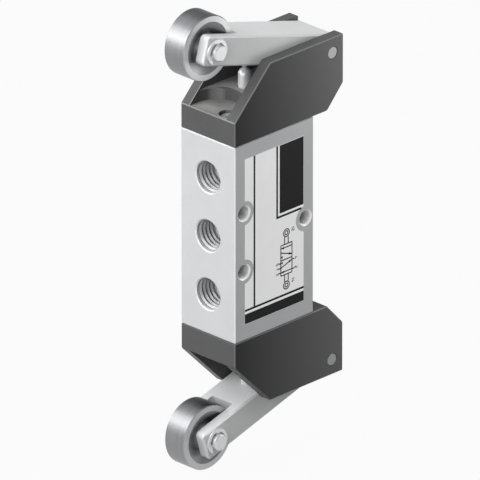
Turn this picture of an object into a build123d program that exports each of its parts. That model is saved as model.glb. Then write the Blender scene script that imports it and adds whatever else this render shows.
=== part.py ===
from build123d import *
import math
import os

# Roller lever air valve: a five-port spool valve that either of two roller levers can shift.
# Everything is modelled about the spool's axis, which stands up along Z with the three-port face towards -Y.
# When a piece is saved it moves to the part's own frame, whose origin is the centre of the mounting face.
# All sizes are in millimetres.

# Body block
BODY_WIDTH = 22.0
BODY_DEPTH = 32.5
BODY_EDGE = 0.3
SPOOL_FROM_FRONT = 15.2
BORE_D = 11.0

# Ports: G 1/8 threads, left at the thread's outer diameter
PORT_PITCH = 18.5
PORT_D = 9.73
PORT_DEPTH = 7.6
PORT_CHAMFER = 0.35
PORT_DRILL_ANGLE = 118.0
PASSAGE_D = 5.0

# Mounting holes for M4 screws, right through the body
MOUNT_HOLE_D = 4.3
MOUNT_HOLE_CHAMFER = 0.45
MOUNT_FRONT_INSET = 3.9
MOUNT_REAR_INSET = 3.3

# Spool and the stack of seals and cages that it slides in
SPOOL_D = 6.0
SPOOL_WAIST_D = 3.6
SPOOL_HALF_STROKE = 2.5
LAND_OVERLAP = 0.8
LAND_CHAMFER = 0.35
SEAL_WIDTH = 2.4
SEAL_CHAMFER = 0.6
OUTER_SEAL_FROM_PORT = 3.7
SEAL_MARGIN = 0.3
SEAL_CLEARANCE = 0.03
STACK_CLEARANCE = 0.04
CAGE_BORE_CLEARANCE = 0.35
CAGE_GROOVE = 0.8
CAGE_WINDOW_D = 2.6
CAGE_WINDOWS = 6
CAGE_LIP = 1.0
STOP_GAP = 0.3
END_WEB = 2.0

# Plungers and their guides
PLUNGER_D = 4.0
PLUNGER_SPIGOT_D = 2.4
PLUNGER_SPIGOT_LENGTH = 4.0
PLUNGER_CLEARANCE = 0.04
GUIDE_D = 7.0
GUIDE_LENGTH = 5.5
GUIDE_FLANGE_D = 10.0
GUIDE_FLANGE_HEIGHT = 1.0
WIPER_HEIGHT = 2.0
WIPER_HOLLOW = 0.7

# Moulded heads
HEAD_HEIGHT = 22.5
HEAD_FRONT_HEIGHT = 7.85
HEAD_SLOPE = 45.0
HEAD_OVERHANG = 12.3
HEAD_REAR_CHAMFER = 6.6
HEAD_REAR_RISE = 7.1
HEAD_EDGE = 0.3
CHEEK = 3.5
POCKET_CENTRE_INSET = 3.7
POCKET_EDGE = 0.4
HEAD_FIT = 0.05

# Head screws, M3 pan head with a cross recess, on one diagonal
SCREW_D = 3.0
SCREW_HEAD_D = 5.5
SCREW_HEAD_HEIGHT = 2.2
SCREW_HEAD_EDGE = 0.6
SCREW_RECESS = 1.2
SCREW_SLOT = 0.9
SCREW_SLOT_LENGTH = 3.0
SCREW_GRIP = 6.0
SCREW_HOLE_EXTRA = 0.5
SCREW_SEAT = 4.9
SCREW_WELL_CLEARANCE = 0.15
SCREW_FRONT_INSET = 3.9
SCREW_REAR_INSET = 3.9

# Lever pivot
PIN_D = 4.0
PIN_CHAMFER = 0.25
PIN_RECESS = 0.1
PIVOT_FROM_REAR = 4.5
PIVOT_FROM_TOP = 4.8
RUNNING = 0.05

# Levers
LEVER_LENGTH = 46.0
LEVER_ANGLE = 16.2
LEVER_HEIGHT = 9.0
LEVER_SIDE_GAP = 0.2
LEVER_TIP = 4.4
LEVER_HEEL = 3.3
LEVER_TIP_ROUND = 1.5
LEVER_SIDE_ROUND = 0.7
LEVER_EDGE = 0.5
HEEL_GAP = 0.5
SLOT_SIDE_GAP = 0.2
SLOT_END_GAP = 1.6
SLOT_CORNER = 0.6
FOOT_D = 2.2
FOOT_GAP = 0.15

# Rollers, their bushes, axles and clips
ROLLER_D = 20.0
ROLLER_WIDTH = 7.9
ROLLER_EDGE = 0.25
ROLLER_RIM = 1.9
ROLLER_DISH = 1.5
ROLLER_DISH_BEND = 1.8
HUB_WALL = 0.8
HUB_SLOPE = 0.4
BUSH_WALL = 0.8
AXLE_D = 4.9
AXLE_CHAMFER = 0.3
AXLE_END = 1.4
CLIP_D = 7.8
CLIP_THICKNESS = 0.6
CLIP_GROOVE_D = 3.6
CLIP_WINDOW_D = 5.8
CLIP_PRONG = 1.3
CLIP_GAP = 0.05
CLIP_LEAN = 13.0

# Sizes that follow from those
front_y = -SPOOL_FROM_FRONT
rear_y = BODY_DEPTH - SPOOL_FROM_FRONT
half_pitch = PORT_PITCH / 2
seal_centres = [half_pitch / 2, half_pitch * 1.5, PORT_PITCH + OUTER_SEAL_FROM_PORT]
stack_end = seal_centres[-1] + SEAL_WIDTH / 2
spool_end = stack_end + SPOOL_HALF_STROKE + SEAL_MARGIN
chamber_end = spool_end + SPOOL_HALF_STROKE + STOP_GAP
body_top = chamber_end + END_WEB
head_rear_y = rear_y + HEAD_OVERHANG
channel_width = BODY_WIDTH - 2 * CHEEK
pocket_y = front_y + POCKET_CENTRE_INSET
pivot_y = head_rear_y - PIVOT_FROM_REAR
pivot_z = body_top + HEAD_HEIGHT - PIVOT_FROM_TOP
channel_floor = pivot_z - math.hypot(LEVER_HEEL, LEVER_HEIGHT / 2) - HEEL_GAP
plunger_tip = pivot_z - FOOT_GAP
guide_top = body_top + GUIDE_LENGTH
wiper_top = guide_top + WIPER_HEIGHT
screw_well_d = SCREW_HEAD_D + 2 * SCREW_WELL_CLEARANCE
screw_x = (channel_width - screw_well_d) / 2
screw_places = [(screw_x, front_y + SCREW_FRONT_INSET), (-screw_x, rear_y - SCREW_REAR_INSET)]
lever_width = channel_width - 2 * LEVER_SIDE_GAP
slot_width = ROLLER_WIDTH + 2 * SLOT_SIDE_GAP
slot_end = LEVER_LENGTH - ROLLER_D / 2 - SLOT_END_GAP
bush_d = AXLE_D + 2 * RUNNING + 2 * BUSH_WALL
axle_reach = lever_width / 2 + CLIP_GAP + CLIP_THICKNESS + AXLE_END

# The five air stations along the spool: port number, height, and the face that it opens on
ports = [
    (5, PORT_PITCH, -1),
    (4, half_pitch, 1),
    (1, 0.0, -1),
    (2, -half_pitch, 1),
    (3, -PORT_PITCH, -1),
]


def along_x(radius, start, end, y=0.0, z=0.0):
    """A cylinder parallel to X, from start to end."""
    return Pos(start, y, z) * extrude(Plane.YZ * Circle(radius), end - start)


def upright(radius, start, end, x=0.0, y=0.0):
    """A cylinder parallel to Z, from start to end."""
    return Pos(x, y, start) * extrude(Circle(radius), end - start)


def turned(points):
    """A piece turned about Z from (radius, height) points."""
    return revolve(Plane.XZ * make_face(Polyline(*points, close=True)), Axis.Z)


def port_cutter(height, side):
    """The drilled, chamfered and tapped-out space of one port, with its passage to the spool bore."""
    radius = PORT_D / 2
    cone = (radius - PASSAGE_D / 2) / math.tan(math.radians(PORT_DRILL_ANGLE / 2))
    face = SPOOL_FROM_FRONT if side < 0 else rear_y
    points = [
        (0, 0),
        (PASSAGE_D / 2, 0),
        (PASSAGE_D / 2, face - PORT_DEPTH - cone),
        (radius, face - PORT_DEPTH),
        (radius, face - PORT_CHAMFER),
        (radius + 2 * PORT_CHAMFER, face + PORT_CHAMFER),
        (0, face + PORT_CHAMFER),
    ]
    return Pos(0, 0, height) * Rot(-90 * side, 0, 0) * turned(points)


def mounting_hole(y, z):
    """A through hole along X with both mouths chamfered."""
    radius = MOUNT_HOLE_D / 2
    half = BODY_WIDTH / 2
    points = [(0, -half - 1), (radius + MOUNT_HOLE_CHAMFER + 1, -half - 1), (radius, -half + MOUNT_HOLE_CHAMFER)]
    points += [(r, -h) for r, h in reversed(points)]
    return Pos(0, y, z) * Rot(0, 90, 0) * turned(points)


def valve_body():
    """Machined bar: spool bore, five ports, three mounting holes and the tapped holes of both heads."""
    block = Pos(0, (front_y + rear_y) / 2, 0) * Box(BODY_WIDTH, BODY_DEPTH, 2 * body_top)
    block = chamfer(block.edges(), BODY_EDGE)
    block -= upright(BORE_D / 2, -body_top, body_top)
    for _, height, side in ports:
        block -= port_cutter(height, side)
    for y, z in mounting_places():
        block -= mounting_hole(y, z)
    for x, y in screw_places:
        tapped = upright(SCREW_D / 2 + HEAD_FIT, body_top - SCREW_GRIP - SCREW_HOLE_EXTRA, body_top, x, y)
        block -= tapped
        block -= Rot(0, 180, 0) * tapped
    return block


def mounting_places():
    """Two holes between the front ports and one between the rear ports, as (y, z)."""
    front = front_y + MOUNT_FRONT_INSET
    return [(front, half_pitch), (front, -half_pitch), (rear_y - MOUNT_REAR_INSET, 0.0)]


def port_cage(low, high, window_height):
    """Spacer ring between two seals, grooved outside and pierced by a row of windows."""
    outer = BORE_D / 2 - STACK_CLEARANCE
    inner = SPOOL_D / 2 + CAGE_BORE_CLEARANCE
    groove = outer - CAGE_GROOVE
    points = [
        (inner, low),
        (outer, low),
        (outer, low + CAGE_LIP),
        (groove, low + CAGE_LIP),
        (groove, high - CAGE_LIP),
        (outer, high - CAGE_LIP),
        (outer, high),
        (inner, high),
    ]
    ring = turned(points)
    drill = Rot(0, 90, 0) * Cylinder(CAGE_WINDOW_D / 2, BORE_D, align=(Align.CENTER, Align.CENTER, Align.MIN))
    for k in range(CAGE_WINDOWS):
        ring -= Pos(0, 0, window_height) * Rot(0, 0, 360 / CAGE_WINDOWS * k) * drill
    return ring


def spool_seal(height):
    """Eight-sided rubber ring between the bore and the spool."""
    inner = SPOOL_D / 2 + SEAL_CLEARANCE
    outer = BORE_D / 2 - STACK_CLEARANCE
    low, high = height - SEAL_WIDTH / 2, height + SEAL_WIDTH / 2
    points = [
        (inner, low + SEAL_CHAMFER),
        (inner + SEAL_CHAMFER, low),
        (outer - SEAL_CHAMFER, low),
        (outer, low + SEAL_CHAMFER),
        (outer, high - SEAL_CHAMFER),
        (outer - SEAL_CHAMFER, high),
        (inner + SEAL_CHAMFER, high),
        (inner, high - SEAL_CHAMFER),
    ]
    return turned(points)


def end_bush():
    """Plug that closes the bore behind the last seal and stops the spool."""
    outer = BORE_D / 2 - STACK_CLEARANCE
    plug = upright(outer, stack_end, body_top)
    plug -= upright(SPOOL_D / 2 + CAGE_BORE_CLEARANCE, stack_end, chamber_end)
    plug -= upright(PLUNGER_D / 2 + CAGE_BORE_CLEARANCE, chamber_end, body_top)
    return chamfer(plug.edges().group_by(Axis.Z)[-1].sort_by(SortBy.RADIUS)[-1], BODY_EDGE)


def spool():
    """Spool with a middle land, a waist each side of it and two long end lands."""
    land, waist = SPOOL_D / 2, SPOOL_WAIST_D / 2
    middle = seal_centres[0] + LAND_OVERLAP
    outer = seal_centres[1] - LAND_OVERLAP
    half = [
        (land, middle - LAND_CHAMFER),
        (land - LAND_CHAMFER, middle),
        (waist, middle),
        (waist, outer),
        (land - LAND_CHAMFER, outer),
        (land, outer + LAND_CHAMFER),
        (land, spool_end - LAND_CHAMFER),
        (land - LAND_CHAMFER, spool_end),
        (0, spool_end),
    ]
    shape = turned([(r, -h) for r, h in reversed(half)] + half)
    socket = upright(PLUNGER_SPIGOT_D / 2, spool_end - PLUNGER_SPIGOT_LENGTH, spool_end)
    return shape - socket - Rot(0, 180, 0) * socket


def plunger():
    """Round-nosed push rod, its spigot seated in the spool's end."""
    nose = plunger_tip - PLUNGER_D / 2
    rod = upright(PLUNGER_D / 2, spool_end, nose) + Pos(0, 0, nose) * Sphere(PLUNGER_D / 2)
    return rod + upright(PLUNGER_SPIGOT_D / 2, spool_end - PLUNGER_SPIGOT_LENGTH, spool_end)


def guide_bush():
    """Flanged bush in the head's underside that the plunger slides in."""
    bush = upright(GUIDE_D / 2, body_top, guide_top)
    bush += upright(GUIDE_FLANGE_D / 2, body_top, body_top + GUIDE_FLANGE_HEIGHT)
    return bush - upright(PLUNGER_D / 2 + PLUNGER_CLEARANCE, body_top, guide_top)


def plunger_wiper():
    """Lip ring above the guide that keeps dirt out, hollow on its underside."""
    lip = PLUNGER_D / 2 + PLUNGER_CLEARANCE
    outer = GUIDE_D / 2
    middle = (lip + outer) / 2
    points = [
        (lip, guide_top),
        (middle - WIPER_HOLLOW / 2, guide_top),
        (middle, guide_top + WIPER_HEIGHT / 2),
        (middle + WIPER_HOLLOW / 2, guide_top),
        (outer, guide_top),
        (outer, wiper_top),
        (lip, wiper_top),
    ]
    return turned(points)


def head():
    """Moulded head: two bevelled cheeks on a solid base, with a round-ended pocket under the roller."""
    slope_run = (HEAD_HEIGHT - HEAD_FRONT_HEIGHT) / math.tan(math.radians(HEAD_SLOPE))
    outline = [
        (front_y, body_top),
        (front_y, body_top + HEAD_FRONT_HEIGHT),
        (front_y + slope_run, body_top + HEAD_HEIGHT),
        (head_rear_y, body_top + HEAD_HEIGHT),
        (head_rear_y, body_top + HEAD_REAR_RISE),
        (head_rear_y - HEAD_REAR_CHAMFER, body_top),
    ]
    side = Plane.YZ * make_face(Polyline(*outline, close=True))
    shape = extrude(side, BODY_WIDTH / 2, both=True)
    shape = chamfer(shape.edges(), HEAD_EDGE)
    shape -= channel()
    shape -= roller_pocket()
    shape -= upright(GUIDE_FLANGE_D / 2 + HEAD_FIT, body_top, body_top + GUIDE_FLANGE_HEIGHT)
    shape -= upright(GUIDE_D / 2, body_top, wiper_top)
    shape -= upright(PLUNGER_D / 2 + CAGE_BORE_CLEARANCE, wiper_top, body_top + HEAD_HEIGHT)
    shape -= along_x(PIN_D / 2, -BODY_WIDTH, BODY_WIDTH, pivot_y, pivot_z)
    for x, y in screw_places:
        shape -= upright(SCREW_D / 2 + HEAD_FIT, body_top, body_top + SCREW_SEAT, x, y)
        shape -= upright(screw_well_d / 2, body_top + SCREW_SEAT, body_top + HEAD_HEIGHT, x, y)
    return shape


def channel():
    """The space between the cheeks, above the floor of the head."""
    depth = head_rear_y - front_y
    space = Box(channel_width, 2 * depth, HEAD_HEIGHT, align=(Align.CENTER, Align.CENTER, Align.MIN))
    return Pos(0, 0, channel_floor) * space


def roller_pocket():
    """The lower, round-ended space in front of the plunger, as wide as the channel, its upper edge broken."""
    radius = channel_width / 2
    plan = Pos(0, pocket_y) * Circle(radius)
    plan += Pos(0, pocket_y) * Rectangle(channel_width, 2 * SPOOL_FROM_FRONT, align=(Align.CENTER, Align.MAX))
    flare = Cone(radius, radius + POCKET_EDGE, POCKET_EDGE, align=(Align.CENTER, Align.CENTER, Align.MIN))
    flare &= Box(channel_width, 4 * radius, 4 * radius)
    pocket = Pos(0, 0, body_top + HEAD_FRONT_HEIGHT) * extrude(plan, HEAD_HEIGHT)
    return pocket + Pos(0, pocket_y, channel_floor - POCKET_EDGE) * flare


def head_screw(x, y):
    """Pan-head screw with a cross recess."""
    seat = body_top + SCREW_SEAT
    top = seat + SCREW_HEAD_HEIGHT
    screw_head = upright(SCREW_HEAD_D / 2, seat, top)
    screw_head = chamfer(screw_head.edges().sort_by(Axis.Z)[-1], SCREW_HEAD_EDGE)
    slot = Box(SCREW_SLOT_LENGTH, SCREW_SLOT, SCREW_RECESS, align=(Align.CENTER, Align.CENTER, Align.MAX))
    cross = Pos(0, 0, top) * (slot + Rot(0, 0, 90) * slot)
    shank = upright(SCREW_D / 2, body_top - SCREW_GRIP, seat)
    return Pos(x, y, 0) * (screw_head - cross + shank)


def pivot_pin():
    """Plain pin through both cheeks, a little short of their faces."""
    end = BODY_WIDTH / 2 - PIN_RECESS
    pin = along_x(PIN_D / 2, -end, end, pivot_y, pivot_z)
    return chamfer(pin.edges().filter_by(GeomType.CIRCLE), PIN_CHAMFER)


def swung(shape):
    """Takes a lever piece, modelled with its pivot at the origin and its arm along -Y, to its rest place."""
    return Pos(0, pivot_y, pivot_z) * Rot(-LEVER_ANGLE, 0, 0) * shape


def lever():
    """Cast fork lever: its outlines from the side, from above and end on, crossed with each other."""
    reach = LEVER_LENGTH + LEVER_TIP
    length = reach + LEVER_HEEL
    middle = (LEVER_HEEL - reach) / 2
    side = Plane.YZ * (Pos(middle, 0) * Rectangle(length, LEVER_HEIGHT))
    side = fillet(side.vertices().group_by(Axis.Y)[0], LEVER_TIP_ROUND)
    plan = Pos(0, middle) * Rectangle(lever_width, length)
    plan = fillet(plan.vertices().group_by(Axis.Y)[0], LEVER_SIDE_ROUND)
    section = Rectangle(lever_width, LEVER_HEIGHT)
    section = Plane.XZ * chamfer(section.vertices(), LEVER_EDGE)
    bar = extrude(side, lever_width, both=True) & extrude(plan, LEVER_HEIGHT, both=True)
    bar &= extrude(section, length, both=True)
    slot = Pos(0, -slot_end) * Rectangle(slot_width, reach, align=(Align.CENTER, Align.MAX))
    slot = fillet(slot.vertices().group_by(Axis.Y)[-1], SLOT_CORNER)
    bar -= extrude(slot, LEVER_HEIGHT, both=True)
    bar -= along_x(PIN_D / 2 + RUNNING, -BODY_WIDTH, BODY_WIDTH)
    bar -= along_x(AXLE_D / 2, -BODY_WIDTH, BODY_WIDTH, -LEVER_LENGTH)
    return swung(bar) + foot()


def foot():
    """Domed foot under the arm that bears on the plunger, its lowest point level with the pivot at rest."""
    arm_middle = pivot_z + pivot_y * math.tan(math.radians(LEVER_ANGLE))
    dome = pivot_z + FOOT_D / 2
    return upright(FOOT_D / 2, dome, arm_middle) + Pos(0, 0, dome) * Sphere(FOOT_D / 2)


def roller_axle():
    """Grooved axle across the fork."""
    rod = along_x(AXLE_D / 2, -axle_reach, axle_reach)
    rod = chamfer(rod.edges().filter_by(GeomType.CIRCLE), AXLE_CHAMFER)
    groove_start = lever_width / 2
    groove_end = groove_start + 2 * CLIP_GAP + CLIP_THICKNESS
    groove = along_x(AXLE_D, groove_start, groove_end) - along_x(CLIP_GROOVE_D / 2, groove_start, groove_end)
    rod -= groove
    rod -= Rot(0, 180, 0) * groove
    return swung(Pos(0, -LEVER_LENGTH, 0) * rod)


def axle_clips(lean):
    """Two E clips, one outside each fork arm, their mouths turned by lean from below the arm."""
    groove = CLIP_GROOVE_D / 2
    profile = Circle(CLIP_D / 2) - Circle(CLIP_WINDOW_D / 2)
    prong = Rectangle(CLIP_PRONG, (groove + CLIP_WINDOW_D) / 2, align=(Align.CENTER, Align.MIN))
    for turn in (0, 115, -115):
        profile += Rot(0, 0, turn) * (Pos(0, groove) * prong & Circle(CLIP_D / 2))
    profile -= Circle(groove + STACK_CLEARANCE)
    profile -= Rectangle(CLIP_GROOVE_D, CLIP_D, align=(Align.CENTER, Align.MAX))
    clip = extrude(Plane.YZ * (Rot(0, 0, lean) * profile), CLIP_THICKNESS)
    place = lever_width / 2 + CLIP_GAP
    pair = [Pos(x, -LEVER_LENGTH, 0) * clip for x in (place, -place - CLIP_THICKNESS)]
    return swung(Compound(pair))


def roller():
    """Steel roller, both faces dished from the rim down to the hub."""
    half = ROLLER_WIDTH / 2
    rim = ROLLER_D / 2 - ROLLER_RIM
    hub = bush_d / 2 + HUB_WALL
    web = half - ROLLER_DISH
    right = [
        (half, bush_d / 2),
        (half, hub),
        (web, hub + HUB_SLOPE),
        (half - ROLLER_DISH / 2, rim - ROLLER_DISH_BEND),
        (half, rim),
        (half, ROLLER_D / 2),
    ]
    outline = make_face(Polyline(*right, *[(-x, r) for x, r in reversed(right)], close=True))
    tread = outline.vertices().group_by(Axis.Y)[-1]
    wheel = revolve(chamfer(tread, ROLLER_EDGE), Axis.X)
    return swung(Pos(0, -LEVER_LENGTH, 0) * wheel)


def roller_bush():
    """Plain bush in the roller's hub."""
    half = ROLLER_WIDTH / 2
    ring = along_x(bush_d / 2, -half, half) - along_x(AXLE_D / 2 + RUNNING, -half, half)
    return swung(Pos(0, -LEVER_LENGTH, 0) * ring)


def save(shape, name):
    """Moves a piece from the spool's axis to the part's frame and writes it."""
    shift = Pos(BODY_WIDTH / 2, -(front_y + rear_y) / 2, 0)
    export_step(shift * shape, f"parts/{name}.step")


os.makedirs("parts", exist_ok=True)
save(valve_body(), "valve_body")
save(spool(), "spool")

edges_of_seals = [h for c in seal_centres for h in (c - SEAL_WIDTH / 2, c + SEAL_WIDTH / 2)]
for number, height, _ in ports:
    above = min(h for h in edges_of_seals + [-e for e in edges_of_seals] if h > height)
    below = max(h for h in edges_of_seals + [-e for e in edges_of_seals] if h < height)
    save(port_cage(below, above, height), f"port_cage_{number}")
for k, height in enumerate(sorted(seal_centres + [-c for c in seal_centres], reverse=True)):
    save(spool_seal(height), f"spool_seal_{k + 1}")

# Both ends are the same pieces: the bottom set is the top set turned over about the Y axis.
end_pieces = {
    "end_bush": end_bush(),
    "plunger": plunger(),
    "guide_bush": guide_bush(),
    "plunger_wiper": plunger_wiper(),
    "head": head(),
    "head_screws": Compound([head_screw(x, y) for x, y in screw_places]),
    "pivot_pin": pivot_pin(),
    "lever": lever(),
    "roller_axle": roller_axle(),
    "roller": roller(),
    "roller_bush": roller_bush(),
}
for name, piece in end_pieces.items():
    save(piece, f"top_{name}")
    save(Rot(0, 180, 0) * piece, f"bottom_{name}")

# The clips' mouths point down at both ends, so the bottom pair is turned on its axle first.
save(axle_clips(CLIP_LEAN), "top_axle_clips")
save(Rot(0, 180, 0) * axle_clips(180 + 2 * LEVER_ANGLE - CLIP_LEAN), "bottom_axle_clips")
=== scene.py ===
import math

import bmesh
import bpy
from mathutils import Matrix, Vector


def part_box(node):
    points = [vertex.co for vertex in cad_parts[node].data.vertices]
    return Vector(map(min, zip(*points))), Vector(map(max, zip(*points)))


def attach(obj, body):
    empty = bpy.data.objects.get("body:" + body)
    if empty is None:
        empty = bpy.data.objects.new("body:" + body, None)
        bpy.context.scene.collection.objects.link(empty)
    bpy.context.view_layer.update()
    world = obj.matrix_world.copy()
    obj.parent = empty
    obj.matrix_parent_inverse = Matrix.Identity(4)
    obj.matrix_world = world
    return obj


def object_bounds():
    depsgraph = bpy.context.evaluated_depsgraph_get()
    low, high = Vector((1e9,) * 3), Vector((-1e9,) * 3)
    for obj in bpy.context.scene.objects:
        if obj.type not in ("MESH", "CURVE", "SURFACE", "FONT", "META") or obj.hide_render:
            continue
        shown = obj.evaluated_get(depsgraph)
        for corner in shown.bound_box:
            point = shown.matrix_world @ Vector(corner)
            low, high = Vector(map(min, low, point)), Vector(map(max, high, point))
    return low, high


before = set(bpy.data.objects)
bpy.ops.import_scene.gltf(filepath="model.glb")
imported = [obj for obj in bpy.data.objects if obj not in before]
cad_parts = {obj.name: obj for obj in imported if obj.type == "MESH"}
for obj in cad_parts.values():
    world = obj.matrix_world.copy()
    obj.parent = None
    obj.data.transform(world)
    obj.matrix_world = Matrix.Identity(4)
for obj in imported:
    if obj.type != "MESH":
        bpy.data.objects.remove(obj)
cad_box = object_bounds()

# Roller lever air valve, from the body block outwards: body, threads, label, heads, plungers, levers, rollers.
# Lengths are in metres in the part's own frame: +X leaves the labelled side, -Y the face with three ports.


# The body block: a length of drawn aluminium bar, milled and satin anodised in its natural silver. Its edges
# were broken and its screw holes drilled after that, so they are bright metal, and their tone also holds a
# painted highlight on the edges and painted light and shade in the holes. The drawing lines along the bar
# are too fine to see, so they are 0.5 mm apart.
MM = 0.001

# A Mix node's colour sockets go by number.
MIX_A = 6
MIX_B = 7
MIXED = 2


def linear(colour):
    """The linear RGBA of an sRGB hex colour such as "8c8f94"."""
    parts = [int(colour[i:i + 2], 16) / 255 for i in (0, 2, 4)]
    return [c / 12.92 if c <= 0.04045 else ((c + 0.055) / 1.055) ** 2.4 for c in parts] + [1.0]


def add(tree, kind, inputs=(), **settings):
    """Adds a node with its settings. An input is a number, a vector, a hex colour or a socket to link from."""
    node = tree.nodes.new("ShaderNode" + kind)
    for name, value in settings.items():
        setattr(node, name, value)
    for name, value in dict(inputs).items():
        if isinstance(value, bpy.types.NodeSocket):
            tree.links.new(value, node.inputs[name])
        else:
            node.inputs[name].default_value = linear(value) if isinstance(value, str) else value
    return node


def new_material(name, **surface):
    """A material with its main shader's sockets set, such as Roughness=0.4."""
    material = bpy.data.materials.new(name)
    material.use_nodes = True
    shader = material.node_tree.nodes["Principled BSDF"]
    for socket, value in surface.items():
        value = linear(value) if isinstance(value, str) else value
        shader.inputs[socket.replace("_", " ")].default_value = value
    return material, material.node_tree, shader


def link(tree, shader, **surface):
    """Links patterns into a main shader's sockets, such as Roughness=haze."""
    for socket, pattern in surface.items():
        tree.links.new(pattern, shader.inputs[socket.replace("_", " ")])


def mottle(tree, grain, low, high, detail=2.0):
    """A tone that wanders between two hex colours in patches as wide as the grain, and its noise."""
    place = add(tree, "TexCoord").outputs["Object"]
    noise = add(tree, "TexNoise", {"Vector": place, "Scale": 1 / grain, "Detail": detail}).outputs["Fac"]
    tone = add(tree, "Mix", {"Factor": noise, MIX_A: low, MIX_B: high}, data_type="RGBA").outputs[MIXED]
    return tone, noise


def off_middle(tree):
    """How far a point lies from the plane midway between the valve's two sides."""
    place = add(tree, "TexCoord").outputs["Object"]
    across = add(tree, "SeparateXYZ", {"Vector": place}).outputs["X"]
    across = add(tree, "Math", {0: across, 1: middle_x}, operation="SUBTRACT").outputs[0]
    return add(tree, "Math", {0: across}, operation="ABSOLUTE").outputs[0]


def finish_nodes(material, *names):
    """Gives CAD nodes a material."""
    for name in names:
        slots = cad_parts[name].data.materials
        slots.clear()
        slots.append(material)


DRAWN_LINE = 0.5 * MM
DRAWN_LENGTH = 25 * MM
OXIDE_CLOUD = 9 * MM
PORT_PITCH = 18.5 * MM
FRONT_HOLES_INSET = 3.9 * MM
REAR_HOLE_INSET = 3.3 * MM
SCREW_HOLE_RADIUS = 2.15 * MM
SCREW_HOLE_CHAMFER = 0.42 * MM
# The painted light in the screw holes reaches the first depth, and their painted shade is full from the
# second.
PAINTED_LIGHT_TO_DEPTH = 2.6 * MM
PAINTED_SHADE_FROM_DEPTH = 4.6 * MM
half_pitch = PORT_PITCH / 2
body_low, body_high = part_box("valve_body")
# The side opposite the label is at X = 0, so the middle plane is half the width from either side.
middle_x = half_width = body_high.x / 2
front_hole_y = body_low.y + FRONT_HOLES_INSET
rear_hole_y = body_high.y - REAR_HOLE_INSET
screw_holes = [(front_hole_y, half_pitch), (front_hole_y, -half_pitch), (rear_hole_y, 0)]

anodised, tree, shader = new_material("satin_anodised_aluminium")
tone, _ = mottle(tree, OXIDE_CLOUD, "bebfc0", "c8c9ca", detail=3.0)

# A broken edge is where the surface faces along no axis. Its paler tone is partly bare metal and partly a
# painted highlight, and an upright one is painted lighter than a level one as a highlight.
facing = add(tree, "TexCoord").outputs["Normal"]
facing = add(tree, "VectorMath", {0: facing}, operation="ABSOLUTE").outputs["Vector"]
facing = add(tree, "SeparateXYZ", {"Vector": facing}).outputs
squarest = add(tree, "Math", {0: facing["X"], 1: facing["Y"]}, operation="MAXIMUM").outputs[0]
squarest = add(tree, "Math", {0: squarest, 1: facing["Z"]}, operation="MAXIMUM").outputs[0]
edge = add(tree, "MapRange", {"Value": squarest, "From Min": 0.92, "From Max": 0.78}).outputs["Result"]
level = add(tree, "MapRange", {"Value": facing["Z"], "From Max": 0.6}).outputs["Result"]
edge_bare_metal_and_highlight = add(tree, "Mix", {"Factor": level, MIX_A: "f6f6f7", MIX_B: "c6c7c8"}, data_type="RGBA").outputs[MIXED]
tone = add(tree, "Mix", {"Factor": edge, MIX_A: tone, MIX_B: edge_bare_metal_and_highlight}, data_type="RGBA").outputs[MIXED]

# The screw holes' walls are bare metal, with painted light at the mouth that fades to painted shade farther
# in.
place = add(tree, "TexCoord").outputs["Object"]
flat = add(tree, "VectorMath", {0: place, 1: (0, 1, 1)}, operation="MULTIPLY").outputs["Vector"]
off_axis = []
for y, z in screw_holes:
    off_axis.append(add(tree, "VectorMath", {0: flat, 1: (0, y, z)}, operation="DISTANCE").outputs["Value"])
nearest = add(tree, "Math", {0: off_axis[0], 1: off_axis[1]}, operation="MINIMUM").outputs[0]
nearest = add(tree, "Math", {0: nearest, 1: off_axis[2]}, operation="MINIMUM").outputs[0]
reach = SCREW_HOLE_RADIUS + SCREW_HOLE_CHAMFER
drilled = add(tree, "Math", {0: nearest, 1: reach}, operation="LESS_THAN").outputs[0]
inward = {"From Min": half_width - PAINTED_LIGHT_TO_DEPTH, "From Max": half_width - PAINTED_SHADE_FROM_DEPTH}
deep = add(tree, "MapRange", {"Value": off_middle(tree), **inward}).outputs["Result"]
hole_wall_painted_light_and_shade = add(tree, "Mix", {"Factor": deep, MIX_A: "fcfcfc", MIX_B: "b8b9bb"}, data_type="RGBA").outputs[MIXED]
tone = add(tree, "Mix", {"Factor": drilled, MIX_A: tone, MIX_B: hole_wall_painted_light_and_shade}, data_type="RGBA").outputs[MIXED]

stretch = (1 / DRAWN_LINE, 1 / DRAWN_LINE, 1 / DRAWN_LENGTH)
stretched = add(tree, "Mapping", {"Vector": place, "Scale": stretch}).outputs["Vector"]
lines = add(tree, "TexNoise", {"Vector": stretched, "Scale": 1.0, "Detail": 2.0}).outputs["Fac"]
bright = add(tree, "MapRange", {"Value": edge, "To Min": 0.12, "To Max": 0.35}).outputs["Result"]
haze = add(tree, "MapRange", {"Value": lines, "To Min": 0.36, "To Max": 0.50}).outputs["Result"]
relief = add(tree, "Bump", {"Height": lines, "Strength": 0.25, "Distance": 0.01 * MM}).outputs["Normal"]
link(tree, shader, Base_Color=tone, Metallic=bright, Roughness=haze, Normal=relief)
finish_nodes(anodised, "valve_body")


# The port threads: cut with a tap after anodising, so they are bare aluminium, bright on the crests, with
# painted shade in the roots. Each is a ridge that winds in from the mouth, drawn coarser than the real 0.907
# mm so that it shows.
def new_piece(name, mesh, body, material):
    """Turns a bmesh into a piece that rides on a CAD body."""
    bmesh.ops.recalc_face_normals(mesh, faces=mesh.faces)
    data = bpy.data.meshes.new(name)
    mesh.to_mesh(data)
    mesh.free()
    data.materials.append(material)
    piece = bpy.data.objects.new(name, data)
    bpy.context.scene.collection.objects.link(piece)
    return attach(piece, body)


THREAD_MAJOR = 9.70 * MM
THREAD_MINOR = 8.60 * MM
THREAD_PITCH = 1.45 * MM
THREAD_DEPTH = 7.5 * MM
THREAD_START = 0.4 * MM
THREAD_STEPS = 64
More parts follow.
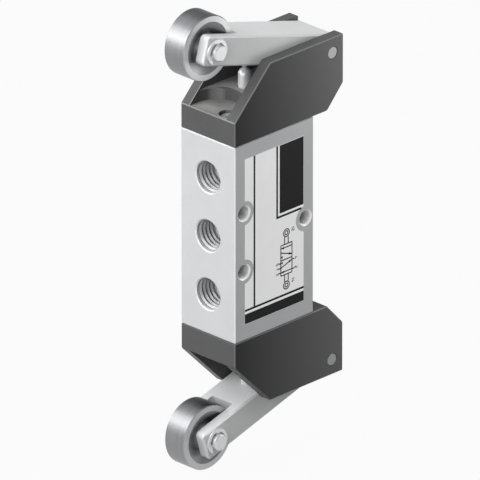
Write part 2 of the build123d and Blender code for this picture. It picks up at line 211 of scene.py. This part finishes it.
# Across one pitch: root, flank, crest, flank, root, as shares of the pitch and of the ridge's height.
THREAD_PROFILE = [(0.0, 0.0), (0.10, 0.0), (0.26, 0.5), (0.44, 1.0), (0.64, 1.0), (0.84, 0.4), (1.0, 0.0)]
# A strip of the ridge gets the painted root shade where its two edges' heights add up to less than this.
ROOT_SHADE_UNDER = 0.45
SHARP_ANGLE = math.radians(30)
TAP_TEAR = 0.4 * MM
ROOT_SHADE_MOTTLE = 1.5 * MM
# Each port's number, its height, and the side it opens on: -1 is the face with three ports.
ports = [("1", 0.0, -1), ("3", -PORT_PITCH, -1), ("5", PORT_PITCH, -1)]
ports += [("2", -half_pitch, 1), ("4", half_pitch, 1)]

cut_aluminium, tree, shader = new_material(
    "tapped_aluminium", Base_Color="a6a7a8", Metallic=0.45, Roughness=0.38)
place = add(tree, "TexCoord").outputs["Object"]
tears = add(tree, "TexNoise", {"Vector": place, "Scale": 1 / TAP_TEAR}).outputs["Fac"]
relief = add(tree, "Bump", {"Height": tears, "Strength": 0.2, "Distance": 0.01 * MM}).outputs["Normal"]
link(tree, shader, Normal=relief)

# The thread roots' dark tone is painted shade.
thread_root_shade, tree, shader = new_material("painted_thread_root_shade", Metallic=0.3, Roughness=0.5)
tone, _ = mottle(tree, ROOT_SHADE_MOTTLE, "1c1c1c", "3a3a3a")
link(tree, shader, Base_Color=tone)

turns = (THREAD_DEPTH - THREAD_START) / THREAD_PITCH - 1
for number, height, side in ports:
    mouth = body_low.y if side < 0 else body_high.y
    mesh = bmesh.new()
    rows = []
    for k in range(int(turns * THREAD_STEPS) + 1):
        angle = 2 * math.pi * k / THREAD_STEPS
        # The ridge grows to its full height over the first half turn.
        rise = min(1.0, 2 * k / THREAD_STEPS)
        row = []
        for along, ridge in THREAD_PROFILE:
            radius = (THREAD_MAJOR - ridge * rise * (THREAD_MAJOR - THREAD_MINOR)) / 2
            depth = THREAD_START + THREAD_PITCH * (k / THREAD_STEPS + along)
            x, z = middle_x + radius * math.cos(angle), height + radius * math.sin(angle)
            row.append(mesh.verts.new((x, mouth - side * depth, z)))
        rows.append(row)
    heights = [ridge for _, ridge in THREAD_PROFILE]
    for row, following in zip(rows, rows[1:]):
        for k in range(len(heights) - 1):
            face = mesh.faces.new((row[k], row[k + 1], following[k + 1], following[k]))
            face.material_index = 1 if heights[k] + heights[k + 1] < ROOT_SHADE_UNDER else 0
    thread = new_piece(f"port_thread_{number}", mesh, "housing", cut_aluminium)
    thread.data.materials.append(thread_root_shade)
    for face in thread.data.polygons:
        face.use_smooth = True
    thread.data.set_sharp_from_angle(angle=SHARP_ANGLE)


# The label: a thin polyester film, metallised to a pale silver and stuck on the side, with round bites where
# the screw heads go. It has a soft metal shine. Its plain panels, its rules and its symbol are screen printed
# in black.
FILM = 0.06 * MM
FILM_RIPPLE = 6 * MM
INK = 0.02 * MM
BITE_STEPS = 24


def flat_piece(mesh, outline, level, thickness):
    """A thin plate on the labelled side, with (y, z) corners. Its underside lies at a level above the face."""
    under = [mesh.verts.new((body_high.x + level, y, z)) for y, z in outline]
    over = [mesh.verts.new((body_high.x + level + thickness, y, z)) for y, z in outline]
    mesh.faces.new(under)
    mesh.faces.new(over)
    for k in range(len(outline)):
        mesh.faces.new((under[k - 1], under[k], over[k], over[k - 1]))


def rectangle(low_y, low_z, high_y, high_z):
    return [(low_y, low_z), (high_y, low_z), (high_y, high_z), (low_y, high_z)]


def bar(start, end, width):
    """A straight stroke from start to end, as a rectangle."""
    a, b = Vector(start), Vector(end)
    across = (b - a).orthogonal().normalized() * width / 2
    return [tuple(a + across), tuple(b + across), tuple(b - across), tuple(a - across)]


def bite(centre, radius, start, end):
    """Points on an arc from one angle to another, in degrees."""
    angles = [math.radians(start + (end - start) * k / BITE_STEPS) for k in range(BITE_STEPS + 1)]
    return [(centre[0] + radius * math.cos(a), centre[1] + radius * math.sin(a)) for a in angles]


LABEL_FRONT = body_low.y + 4.1 * MM
LABEL_REAR = body_high.y - 4.2 * MM
LABEL_TOP = 26.3 * MM
LABEL_BOTTOM = -26.0 * MM
FRONT_BITE = 3.8 * MM
REAR_BITE = 4.1 * MM

silver_film, tree, shader = new_material("metallised_polyester_film", Metallic=0.5, Roughness=0.32)
tone, ripple = mottle(tree, FILM_RIPPLE, "f0f0f0", "f8f8f8")
relief = add(tree, "Bump", {"Height": ripple, "Strength": 0.1, "Distance": 0.02 * MM}).outputs["Normal"]
link(tree, shader, Base_Color=tone, Normal=relief)

front_reach = math.degrees(math.acos((LABEL_FRONT - front_hole_y) / FRONT_BITE))
rear_reach = math.degrees(math.acos((rear_hole_y - LABEL_REAR) / REAR_BITE))
outline = [(LABEL_FRONT, LABEL_BOTTOM), (LABEL_REAR, LABEL_BOTTOM)]
outline += bite((rear_hole_y, 0), REAR_BITE, 180 + rear_reach, 180 - rear_reach)
outline += [(LABEL_REAR, LABEL_TOP), (LABEL_FRONT, LABEL_TOP)]
outline += bite((front_hole_y, half_pitch), FRONT_BITE, front_reach, -front_reach)
outline += bite((front_hole_y, -half_pitch), FRONT_BITE, front_reach, -front_reach)
mesh = bmesh.new()
flat_piece(mesh, outline, 0, FILM)
new_piece("label_film", mesh, "housing", silver_film)

# The black ink dries matt. The panel in the upper corner has its own rule on two sides, which stops at a bite.
INK_SPECK = 0.5 * MM
INK_MARGIN = 0.1 * MM
PANEL = (LABEL_FRONT + 14.3 * MM, 4.7 * MM, LABEL_REAR - INK_MARGIN, LABEL_TOP - INK_MARGIN)
STRIP = (LABEL_FRONT, LABEL_BOTTOM + INK_MARGIN, LABEL_REAR, LABEL_BOTTOM + 3.2 * MM)
RULE = 0.65 * MM
LONG_RULE_Y = LABEL_FRONT + 3.9 * MM
LOW_RULE_Z = -21.65 * MM
PANEL_RULE_GAP = 1.05 * MM
PANEL_RULE_Y = PANEL[0] - PANEL_RULE_GAP
PANEL_RULE_Z = PANEL[1] - PANEL_RULE_GAP
PANEL_RULE_END = rear_hole_y - REAR_BITE * 0.45
black_ink, tree, shader = new_material("black_screen_ink", Roughness=0.5, Specular_IOR_Level=0.15)
tone, _ = mottle(tree, INK_SPECK, "08080a", "101012")
link(tree, shader, Base_Color=tone)
blocks = [
    rectangle(*PANEL),
    rectangle(*STRIP),
    bar((LONG_RULE_Y, LOW_RULE_Z), (LONG_RULE_Y, LABEL_TOP), RULE),
    bar((LABEL_FRONT, LOW_RULE_Z), (LABEL_REAR, LOW_RULE_Z), RULE),
    bar((PANEL_RULE_Y, PANEL_RULE_Z - RULE / 2), (PANEL_RULE_Y, LABEL_TOP), RULE),
    bar((PANEL_RULE_Y, PANEL_RULE_Z), (PANEL_RULE_END, PANEL_RULE_Z), RULE),
]
mesh = bmesh.new()
for block in blocks:
    flat_piece(mesh, block, FILM, INK)
new_piece("label_panels_and_rules", mesh, "housing", black_ink)

# The circuit symbol on the label, for a valve with five ways, two positions and a roller at each end. It is
# standard for such valves: two squares one above the other, their flow arrows, and the rollers on short stems.
STROKE = 0.34 * MM
ARROW = 0.42 * MM
SYMBOL_WIDTH = 4.6 * MM
SYMBOL_HALF = 4.8 * MM
SYMBOL_Y = LABEL_REAR - 7.1 * MM
SYMBOL_Z = -10.5 * MM
UPPER_WAYS = (1.0 * MM, 2.3 * MM, 3.8 * MM)
LOWER_WAYS = (5.6 * MM, 7.1 * MM, 8.6 * MM)
CLOSED_STUB = 0.6 * MM
CLOSED_BAR = 0.4 * MM
LEAD = 0.9 * MM
STEM_SPREAD = 1.5 * MM
STEM_LENGTH = 2.3 * MM
WHEEL = 1.2 * MM
near, far = SYMBOL_Y - SYMBOL_WIDTH / 2, SYMBOL_Y + SYMBOL_WIDTH / 2
top, low = SYMBOL_Z + SYMBOL_HALF, SYMBOL_Z - SYMBOL_HALF
strokes = [((near, z), (far, z)) for z in (top, SYMBOL_Z, low)]
strokes += [((y, low), (y, top)) for y in (near, far)]
# Each square has two flow paths and a closed way, and the lower one has the leads. The ways are counted down.
upper = [top - down for down in UPPER_WAYS]
lower = [top - down for down in LOWER_WAYS]
arrows = [
    ((far, upper[0]), (near, upper[0])),
    ((near, upper[1]), (far, upper[2])),
    ((near, lower[1]), (far, lower[0])),
    ((far, lower[2]), (near, lower[2])),
]
for closed in (upper[2], lower[0]):
    stub = near + CLOSED_STUB
    strokes.append(((near, closed), (stub, closed)))
    strokes.append(((stub, closed - CLOSED_BAR), (stub, closed + CLOSED_BAR)))
strokes += [((near - LEAD, z), (near, z)) for z in lower]
strokes += [((far, z), (far + LEAD, z)) for z in (lower[0], lower[2])]
mesh = bmesh.new()
for start, end in arrows:
    strokes.append((start, end))
    a, b = Vector(start), Vector(end)
    back = b - (b - a).normalized() * 3 * ARROW
    across = (b - a).orthogonal().normalized() * ARROW
    flat_piece(mesh, [tuple(b), tuple(back + across), tuple(back - across)], FILM, INK)
for end_z, way in ((top, 1), (low, -1)):
    for y in (SYMBOL_Y - STEM_SPREAD / 2, SYMBOL_Y + STEM_SPREAD / 2):
        strokes.append(((y, end_z), (y, end_z + way * STEM_LENGTH)))
    hub = (SYMBOL_Y, end_z + way * (STEM_LENGTH + WHEEL))
    for radius in (WHEEL, WHEEL / 2):
        rim = bite(hub, radius, 0, 360)
        strokes += list(zip(rim, rim[1:]))
for start, end in strokes:
    flat_piece(mesh, bar(start, end, STROKE), FILM, INK)

# Each way's number stands beside it, turned a quarter to read from the side, and the two control numbers stand
# beside the rollers. The digits are single pen strokes on a grid two wide and four high.
DIGIT = 0.25 * MM
PEN = 0.8 * DIGIT
DIGITS = {
    "1": [(0, 3), (1, 4), (1, 0)],
    "2": [(0, 4), (2, 4), (2, 2), (0, 2), (0, 0), (2, 0)],
    "3": [(0, 4), (2, 4), (2, 2), (1, 2), (2, 2), (2, 0), (0, 0)],
    "4": [(1, 4), (0, 1), (2, 1), (2, 2), (2, 0)],
    "5": [(2, 4), (0, 4), (0, 2), (2, 2), (2, 0), (0, 0)],
}
DIGIT_RISE = 0.3 * MM
NEAR_DIGITS_Y = near - 1.9 * MM
FAR_DIGITS_Y = far + 1.1 * MM
CONTROL_Y = far - 0.1 * MM
TOP_CONTROL_Z = top + 4.6 * MM
LOW_CONTROL_Z = low - 2.0 * MM
CONTROL_STEP = 0.7 * MM
written = [(digit, NEAR_DIGITS_Y, z + DIGIT_RISE) for digit, z in zip("513", lower)]
written += [("4", FAR_DIGITS_Y, lower[0] + DIGIT_RISE), ("2", FAR_DIGITS_Y, lower[2] + DIGIT_RISE)]
written += [("1", CONTROL_Y, TOP_CONTROL_Z), ("2", CONTROL_Y, TOP_CONTROL_Z - CONTROL_STEP)]
written += [("1", CONTROL_Y, LOW_CONTROL_Z), ("4", CONTROL_Y, LOW_CONTROL_Z - CONTROL_STEP)]
for digit, y, z in written:
    pen = [(y + v * DIGIT, z - u * DIGIT) for u, v in DIGITS[digit]]
    for start, end in zip(pen, pen[1:]):
        flat_piece(mesh, bar(start, end, PEN), FILM, INK)
new_piece("label_circuit_symbol", mesh, "housing", black_ink)


# The heads: moulded in black glass-filled nylon with the fine even grain of a spark-eroded mould, which leaves
# a low broad sheen. Handling has smoothed the grain in patches. The cheeks' outer faces carry a painted sheen
# that grows paler towards the rear, their edges and the upper pocket's lip and far cheek edge carry painted
# highlights, and the floors of the upper pocket carry painted light in patches.
def side_edges(tree):
    """1 on the 45-degree edges round a side that faces X, and 0 on the sides and on what lies between them."""
    normal = add(tree, "TexCoord").outputs["Normal"]
    side = add(tree, "SeparateXYZ", {"Vector": normal}).outputs["X"]
    square = add(tree, "Math", {0: side, 1: side}, operation="MULTIPLY").outputs[0]
    rest = add(tree, "Math", {0: 1.0, 1: square}, operation="SUBTRACT").outputs[0]
    # This is 0.25 at its most, where the surface faces half way between X and the plane across it.
    both = add(tree, "Math", {0: square, 1: rest}, operation="MULTIPLY").outputs[0]
    return add(tree, "MapRange", {"Value": both, "From Min": 0.13, "From Max": 0.22}).outputs["Result"]


ENDS = ("top", "bottom")
MOULD_GRAIN = 0.35 * MM
RUB_AND_LIGHT_PATCH = 8 * MM
FLUSH = 0.15 * MM
HEAD_REAR = 28.5 * MM
POCKET_FLOORS = 37 * MM
POCKET_DEPTH = 6 * MM
FRONT_LIP = 38.7 * MM
LIP_HIGHLIGHT_WIDTH = 0.25 * MM
FAR_CHEEK_EDGE = 3.4 * MM
CHEEK_HIGHLIGHT_WIDTH = 0.2 * MM
# The bevels' upward lean, as the Z of the way they face, and how far from it one may be.
BEVEL_LEAN = 0.53
BEVEL_SPAN = 0.24
nylon, tree, shader = new_material("black_glass_filled_nylon", IOR=1.53, Specular_IOR_Level=0.12)
tone, grain = mottle(tree, MOULD_GRAIN, "4d4d4e", "595959", detail=3.0)
place = add(tree, "TexCoord").outputs["Object"]
spot = add(tree, "SeparateXYZ", {"Vector": place}).outputs
normal = add(tree, "TexCoord").outputs["Normal"]
lean = add(tree, "SeparateXYZ", {"Vector": normal}).outputs["Z"]

# The cheeks' outer faces, with a painted sheen growing paler from front to rear, and a painted highlight on
# the edges round them.
outer = {0: off_middle(tree), 1: half_width - FLUSH}
outer = add(tree, "Math", outer, operation="GREATER_THAN").outputs[0]
aft = {"Value": spot["Y"], "From Min": body_low.y, "From Max": HEAD_REAR}
aft = add(tree, "MapRange", aft).outputs["Result"]
cheek_painted_sheen = add(tree, "Mix", {"Factor": aft, MIX_A: "2a2a2b", MIX_B: "707071"}, data_type="RGBA").outputs[MIXED]
tone = add(tree, "Mix", {"Factor": outer, MIX_A: tone, MIX_B: cheek_painted_sheen}, data_type="RGBA").outputs[MIXED]
# The edges round the cheeks are painted paler as a highlight.
head_edge_highlight = add(tree, "MapRange", {"Value": side_edges(tree), "To Max": 0.6}).outputs["Result"]
tone = add(tree, "Mix", {"Factor": head_edge_highlight, MIX_A: tone, MIX_B: "8c8c8d"}, data_type="RGBA").outputs[MIXED]

# Painted highlight lines along the upper pocket's front lip and the far cheek's inner edge, both on the
# bevels.
bevel = add(tree, "Math", {0: lean, 1: BEVEL_LEAN, 2: BEVEL_SPAN}, operation="COMPARE").outputs[0]
above = add(tree, "Math", {0: spot["Z"], 1: POCKET_FLOORS}, operation="GREATER_THAN").outputs[0]
bevel = add(tree, "Math", {0: bevel, 1: above}, operation="MULTIPLY").outputs[0]
lip = add(tree, "Math", {0: spot["Z"], 1: FRONT_LIP, 2: LIP_HIGHLIGHT_WIDTH}, operation="COMPARE").outputs[0]
inner = add(tree, "Math", {0: spot["X"], 1: FAR_CHEEK_EDGE, 2: CHEEK_HIGHLIGHT_WIDTH}, operation="COMPARE").outputs[0]
bevel_highlight_lines = add(tree, "Math", {0: lip, 1: inner}, operation="MAXIMUM").outputs[0]
bevel_highlight_lines = add(tree, "Math", {0: bevel_highlight_lines, 1: bevel}, operation="MULTIPLY").outputs[0]
bevel_highlight_lines = add(tree, "MapRange", {"Value": bevel_highlight_lines, "To Max": 0.6}).outputs["Result"]
tone = add(tree, "Mix", {"Factor": bevel_highlight_lines, MIX_A: tone, MIX_B: "9c9c9d"}, data_type="RGBA").outputs[MIXED]

# Painted light, in patches where the surface lies level at the height of the pocket's floors.
rub_and_light_patches = add(tree, "TexNoise", {"Vector": place, "Scale": 1 / RUB_AND_LIGHT_PATCH, "Detail": 2.0}).outputs["Fac"]
low_down = add(tree, "Math", {0: spot["Z"], 1: POCKET_FLOORS, 2: POCKET_DEPTH}, operation="COMPARE").outputs[0]
upward = add(tree, "MapRange", {"Value": lean, "From Min": 0.9, "From Max": 0.98}).outputs["Result"]
floors = add(tree, "Math", {0: low_down, 1: upward}, operation="MULTIPLY").outputs[0]
pocket_floor_painted_light = add(tree, "Math", {0: floors, 1: rub_and_light_patches}, operation="MULTIPLY").outputs[0]
tone = add(tree, "Mix", {"Factor": pocket_floor_painted_light, MIX_A: tone, MIX_B: "c0c0be"}, data_type="RGBA").outputs[MIXED]

haze = add(tree, "MapRange", {"Value": rub_and_light_patches, "To Min": 0.36, "To Max": 0.44}).outputs["Result"]
relief = add(tree, "Bump", {"Height": grain, "Strength": 0.3, "Distance": 0.03 * MM}).outputs["Normal"]
link(tree, shader, Base_Color=tone, Roughness=haze, Normal=relief)
finish_nodes(nylon, *[f"{end}_head" for end in ENDS])


# The head screws and the clips on the axles: small rolled and pressed steel parts, zinc plated. Zinc sets in
# fine crystals, which show as a slight spangle.
SPANGLE = 0.5 * MM
zinc, tree, shader = new_material("zinc_plated_steel", Metallic=0.6, Roughness=0.35)
place = add(tree, "TexCoord").outputs["Object"]
spangle = add(tree, "TexVoronoi", {"Vector": place, "Scale": 1 / SPANGLE}).outputs["Distance"]
tone = add(tree, "Mix", {"Factor": spangle, MIX_A: "d4d6d8", MIX_B: "e6e8ea"}, data_type="RGBA").outputs[MIXED]
link(tree, shader, Base_Color=tone)
finish_nodes(zinc, *[f"{end}_{part}" for end in ENDS for part in ("head_screws", "axle_clips")])


# The plungers: stainless steel rod, ground and polished to a pale satin, so that they don't wear their seals.
# The axles are plain ground rod, which has a harder glint, and the pivot pins are sawn from the same rod and
# darkened lightly with oil, so their ends are dull.
GRINDING = 0.6 * MM
SAW_MARK = 0.4 * MM
stainless, tree, shader = new_material("polished_stainless_rod", Metallic=0.35, Roughness=0.3)
tone, _ = mottle(tree, GRINDING, "dcdddf", "ecedef", detail=3.0)
link(tree, shader, Base_Color=tone)
finish_nodes(stainless, *[f"{end}_plunger" for end in ENDS])

ground_steel, tree, shader = new_material("ground_steel_rod", Metallic=0.8)
tone, polish = mottle(tree, GRINDING, "d0d1d3", "dedfe1", detail=3.0)
haze = add(tree, "MapRange", {"Value": polish, "To Min": 0.36, "To Max": 0.46}).outputs["Result"]
link(tree, shader, Base_Color=tone, Roughness=haze)
finish_nodes(ground_steel, *[f"{end}_roller_axle" for end in ENDS])

sawn_steel, tree, shader = new_material("oiled_sawn_steel", Metallic=0.5, Roughness=0.55)
tone, cuts = mottle(tree, SAW_MARK, "989a9b", "acadae", detail=3.0)
relief = add(tree, "Bump", {"Height": cuts, "Strength": 0.3, "Distance": 0.02 * MM}).outputs["Normal"]
link(tree, shader, Base_Color=tone, Normal=relief)
finish_nodes(sawn_steel, *[f"{end}_pivot_pin" for end in ENDS])


# The levers: aluminium die castings, tumbled in ceramic chips to a soft even satin. The chips hide the mould's
# seams and leave shallow pits. The slightly paler edges are a painted highlight.
TUMBLED_PIT = 0.5 * MM
CAST_CLOUD = 7 * MM
casting, tree, shader = new_material("tumbled_aluminium_casting", Metallic=0.12, Roughness=0.45)
tone, _ = mottle(tree, CAST_CLOUD, "d4d5d6", "dcdddd")
lever_edge_highlight = {"Factor": side_edges(tree), MIX_A: tone, MIX_B: "e2e2e3"}
tone = add(tree, "Mix", lever_edge_highlight, data_type="RGBA").outputs[MIXED]
place = add(tree, "TexCoord").outputs["Object"]
pits = add(tree, "TexNoise", {"Vector": place, "Scale": 1 / TUMBLED_PIT, "Detail": 4.0}).outputs["Fac"]
relief = add(tree, "Bump", {"Height": pits, "Strength": 0.3, "Distance": 0.02 * MM}).outputs["Normal"]
link(tree, shader, Base_Color=tone, Normal=relief)
finish_nodes(casting, *[f"{end}_lever" for end in ENDS])


# The rollers: turned from steel bar, hardened dark and polished, with the flat rims ground bright and painted
# lighter still as a highlight. The lathe leaves rings, round the tread and about the hub on both faces, and
# they are drawn 0.35 mm apart to show.
LATHE_RING = 0.35 * MM
RIM_RADIUS = 8.1 * MM
RIM_EDGE = 0.1 * MM
for end in ENDS:
    low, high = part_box(f"{end}_roller")
    centre = (low + high) / 2
    turned, tree, shader = new_material(
        f"turned_steel_{end}", Metallic=1.0, Anisotropic=0.5, Anisotropic_Rotation=0.25)
    round_hub = add(tree, "Tangent", direction_type="RADIAL", axis="X").outputs["Tangent"]
    place = add(tree, "TexCoord").outputs["Object"]
    from_hub = add(tree, "VectorMath", {0: place, 1: centre}, operation="SUBTRACT").outputs["Vector"]
    spread = add(tree, "VectorMath", {0: from_hub, 1: (0, 1, 1)}, operation="MULTIPLY").outputs["Vector"]
    radius = add(tree, "VectorMath", {0: spread}, operation="LENGTH").outputs["Value"]
    width = add(tree, "SeparateXYZ", {"Vector": from_hub}).outputs["X"]
    across = add(tree, "CombineXYZ", {"X": width, "Y": radius}).outputs["Vector"]
    rings = {"Vector": across, "Scale": 1 / LATHE_RING, "Detail": 2.0}
    rings = add(tree, "TexNoise", rings, noise_dimensions="2D").outputs["Fac"]
    tones = {"Factor": rings, MIX_A: "86878a", MIX_B: "9c9d9f"}
    tone = add(tree, "Mix", tones, data_type="RGBA").outputs[MIXED]
    # The rims' flat faces are painted lighter: partly their ground finish, partly a painted highlight.
    beyond = {"Value": radius, "From Min": RIM_RADIUS - RIM_EDGE, "From Max": RIM_RADIUS}
    beyond = add(tree, "MapRange", beyond).outputs["Result"]
    normal = add(tree, "TexCoord").outputs["Normal"]
    facing = add(tree, "SeparateXYZ", {"Vector": normal}).outputs["X"]
    facing = add(tree, "Math", {0: facing}, operation="ABSOLUTE").outputs[0]
    rim = add(tree, "Math", {0: beyond, 1: facing}, operation="MULTIPLY").outputs[0]
    tone = add(tree, "Mix", {"Factor": rim, MIX_A: tone, MIX_B: "b2b3b5"}, data_type="RGBA").outputs[MIXED]
    haze = add(tree, "MapRange", {"Value": rings, "To Min": 0.32, "To Max": 0.50}).outputs["Result"]
    relief = add(tree, "Bump", {"Height": rings, "Strength": 0.2, "Distance": 0.01 * MM}).outputs["Normal"]
    link(tree, shader, Base_Color=tone, Roughness=haze, Normal=relief, Tangent=round_hub)
    finish_nodes(turned, f"{end}_roller")


# The bushes in the rollers and under the heads: pressed and sintered from bronze powder. The metal is porous
# and filled with oil, so it is dull and mottled.
PORE = 0.3 * MM
bronze, tree, shader = new_material("sintered_bronze", Metallic=1.0, Roughness=0.45)
tone, _ = mottle(tree, PORE, "8f6f45", "b8935e", detail=4.0)
link(tree, shader, Base_Color=tone)
finish_nodes(bronze, *[f"{end}_{bush}" for end in ENDS for bush in ("roller_bush", "guide_bush")])


# Inside: a spool and end bushes of ground aluminium, cages moulded in natural acetal, and seals and wipers
# moulded in nitrile rubber. Ground aluminium gleams, acetal is a waxy off-white, and nitrile is matt black
# with a faint bloom.
WHEEL_MARK = 0.5 * MM
MOULD_FLOW = 2 * MM
BLOOM = 0.4 * MM
WAX_DEPTH = 0.5 * MM
spool_metal, tree, shader = new_material("ground_spool_aluminium", Metallic=1.0, Roughness=0.3)
tone, _ = mottle(tree, WHEEL_MARK, "b9babc", "cfd0d2")
link(tree, shader, Base_Color=tone)
finish_nodes(spool_metal, "spool", *[f"{end}_end_bush" for end in ENDS])

acetal, tree, shader = new_material("natural_acetal", Roughness=0.35, Subsurface_Weight=0.1)
shader.inputs["Subsurface Radius"].default_value = (WAX_DEPTH, WAX_DEPTH, WAX_DEPTH)
tone, _ = mottle(tree, MOULD_FLOW, "e2e0d8", "efede6")
link(tree, shader, Base_Color=tone)
finish_nodes(acetal, *[f"port_cage_{number}" for number, _, _ in ports])

nitrile, tree, shader = new_material("nitrile_rubber", Roughness=0.7)
tone, _ = mottle(tree, BLOOM, "151515", "222222")
link(tree, shader, Base_Color=tone)
seals = [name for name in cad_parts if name.startswith("spool_seal") or name.endswith("_wiper")]
finish_nodes(nitrile, *seals)


# The studio: a pale floor, soft lamps to the left, in front and above, a small weak one behind the labelled
# side, and an even white world. To the camera, and in metal, the floor is nearly all white. It lies low enough
# to clear the lower roller at its lever's lowest.
FLOOR_HALF = 12.0
ROLLER_DROP = 5.5 * MM
FLOOR_GLOW = 1.1
FLOOR_WHITE_SHARE = 0.86
WORLD_STRENGTH = 0.30
mesh = bmesh.new()
bmesh.ops.create_grid(mesh, x_segments=1, y_segments=1, size=FLOOR_HALF)
data = bpy.data.meshes.new("floor")
mesh.to_mesh(data)
mesh.free()
floor = bpy.data.objects.new("floor", data)
floor.location = (0, 0, cad_box[0][2] - ROLLER_DROP)
bpy.context.scene.collection.objects.link(floor)
pale, tree, shader = new_material("pale_floor", Base_Color="505050", Roughness=0.9)
plain = shader.outputs[0]
rays = add(tree, "LightPath").outputs
seen = add(tree, "Math", {0: rays["Is Camera Ray"], 1: rays["Is Glossy Ray"]}, operation="MAXIMUM").outputs[0]
seen = add(tree, "Math", {0: seen, 1: rays["Is Transmission Ray"]}, operation="MAXIMUM").outputs[0]
white = add(tree, "Emission", {"Color": "ffffff", "Strength": FLOOR_GLOW}).outputs[0]
bleached = add(tree, "MixShader", {0: FLOOR_WHITE_SHARE, 1: plain, 2: white}).outputs[0]
swap = add(tree, "MixShader", {0: seen, 1: plain, 2: bleached}).outputs[0]
tree.links.new(swap, tree.nodes["Material Output"].inputs["Surface"])
floor.data.materials.append(pale)

world = bpy.data.worlds.new("studio")
world.use_nodes = True
background = world.node_tree.nodes["Background"]
background.inputs["Color"].default_value = linear("ffffff")
background.inputs["Strength"].default_value = WORLD_STRENGTH
bpy.context.scene.world = world


def lamp(name, place, width, height, power):
    """A soft lamp that faces the valve's middle, with its place and size in metres and its power in watts."""
    data = bpy.data.lights.new(name, "AREA")
    data.shape = "RECTANGLE"
    data.size = width
    data.size_y = height
    data.energy = power
    light = bpy.data.objects.new(name, data)
    light.location = place
    light.rotation_euler = (-Vector(place)).to_track_quat("-Z", "Y").to_euler()
    light.visible_camera = False
    bpy.context.scene.collection.objects.link(light)


lamp("key_lamp", (-0.32, -0.30, 0.28), 0.50, 0.30, 1.7)
lamp("front_lamp", (0.02, -0.62, 0.25), 0.80, 0.45, 3.7)
lamp("top_lamp", (0.05, -0.15, 0.75), 0.60, 0.60, 4.0)
lamp("side_lamp", (0.075, 0.095, 0.030), 0.06, 0.06, 0.036)


# The camera: a long lens, so that upright edges stay parallel as they do in the photograph. The direction, the
# scale and the aim were fitted to the photograph's corners.
AZIMUTH = math.radians(44.68)
ELEVATION = math.radians(24.01)
PIXELS_PER_MM = 3.45
FRAME_PIXELS = 480
SENSOR = 36.0
DISTANCE = 6.0
CLIP_END = 50.0
AIM_RIGHT = -2.105 * MM
AIM_UP = -5.860 * MM
level_share, rise = math.cos(ELEVATION), math.sin(ELEVATION)
toward_camera = Vector((math.sin(AZIMUTH) * level_share, -math.cos(AZIMUTH) * level_share, rise))
right = Vector((math.cos(AZIMUTH), math.sin(AZIMUTH), 0))
up = toward_camera.cross(right)
body_middle = (body_low + body_high) / 2
view_width = FRAME_PIXELS / PIXELS_PER_MM * MM
data = bpy.data.cameras.new("camera")
data.sensor_width = SENSOR
data.lens = SENSOR * DISTANCE / view_width
data.clip_end = CLIP_END
camera = bpy.data.objects.new("camera", data)
camera.location = body_middle + right * AIM_RIGHT + up * AIM_UP + toward_camera * DISTANCE
camera.rotation_euler = Matrix((right, up, toward_camera)).transposed().to_euler()
bpy.context.scene.collection.objects.link(camera)
bpy.context.scene.camera = camera
bpy.context.scene.view_settings.view_transform = "Standard"
